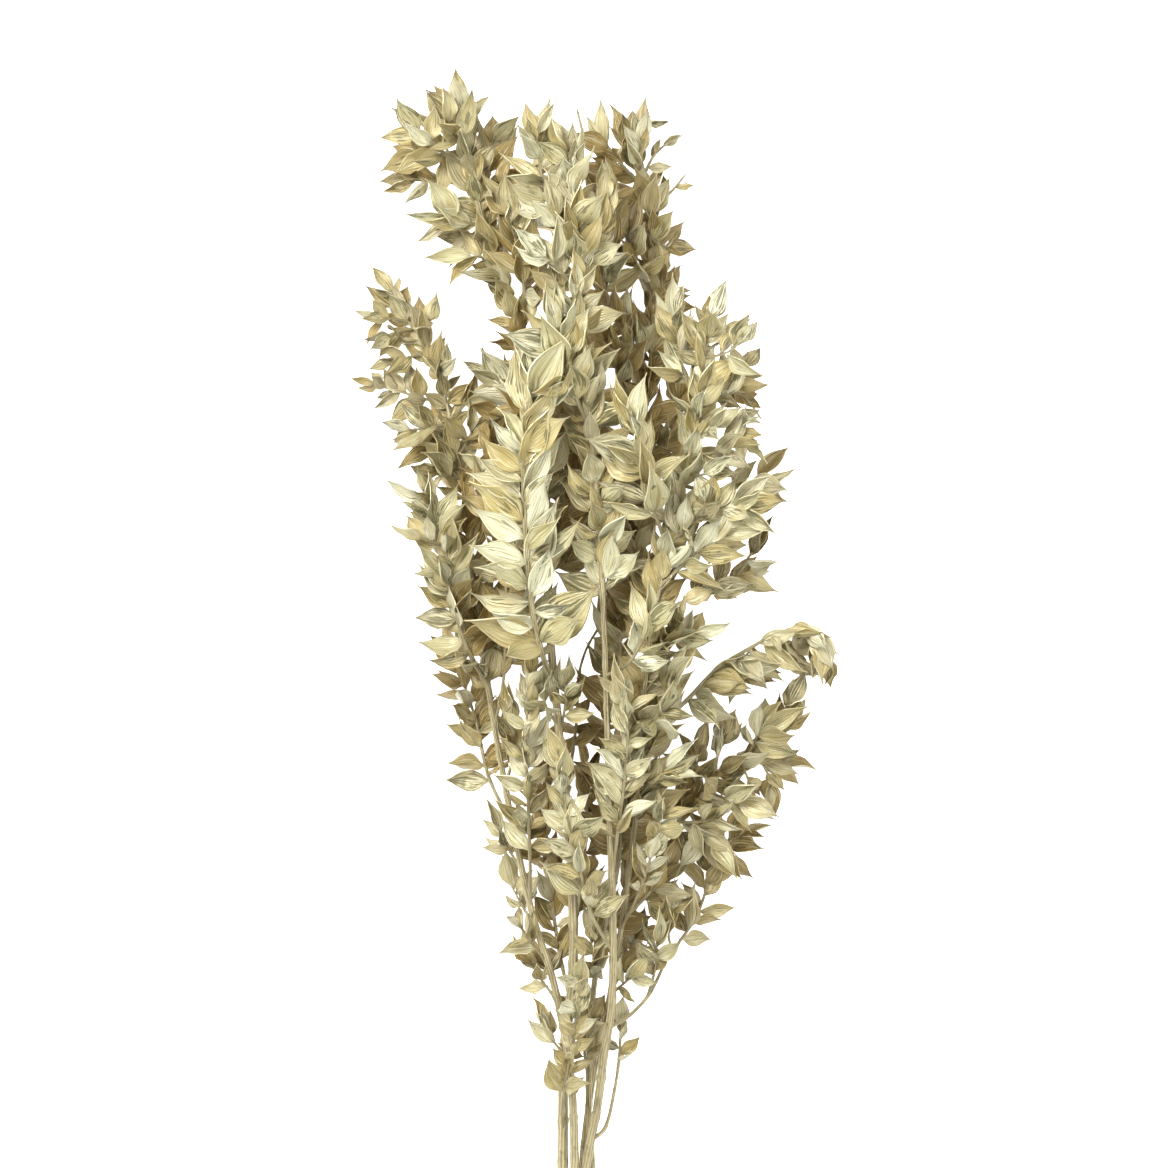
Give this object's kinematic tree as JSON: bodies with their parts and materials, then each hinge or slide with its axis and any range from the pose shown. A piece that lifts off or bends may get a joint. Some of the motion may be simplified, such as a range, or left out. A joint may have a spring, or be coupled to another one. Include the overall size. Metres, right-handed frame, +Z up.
{
  "type": "dried ruscus bunch",
  "caption": "Tied bunch of dried, gold-painted leafy canes lying flat, narrow at the cut ends and wide and bushy towards the tips.",
  "frame": {"origin": "on the surface that the bunch lies on, under the middle of its bounding box", "axes": "+Y from the cut ends to the leafy tips, +X to the right seen from above, +Z up from the surface"},
  "size_m": [0.2958, 0.727, 0.1208],
  "materials": {
    "left_cane": "dry leaf and bark under satin gold paint",
    "thick_cane": "dry leaf and bark under satin gold paint",
    "centre_cane": "dry leaf and bark under satin gold paint",
    "inner_cane": "dry leaf and bark under satin gold paint, darker in the shade of the others",
    "right_cane": "dry leaf and bark under satin gold paint",
    "tie": "plain wound twine"
  },
  "bodies": {
    "root": {"left_cane": "left_cane", "thick_cane": "thick_cane", "centre_cane": "centre_cane", "inner_cane": "inner_cane", "right_cane": "right_cane", "tie": "tie"}
  },
  "joints": []
}
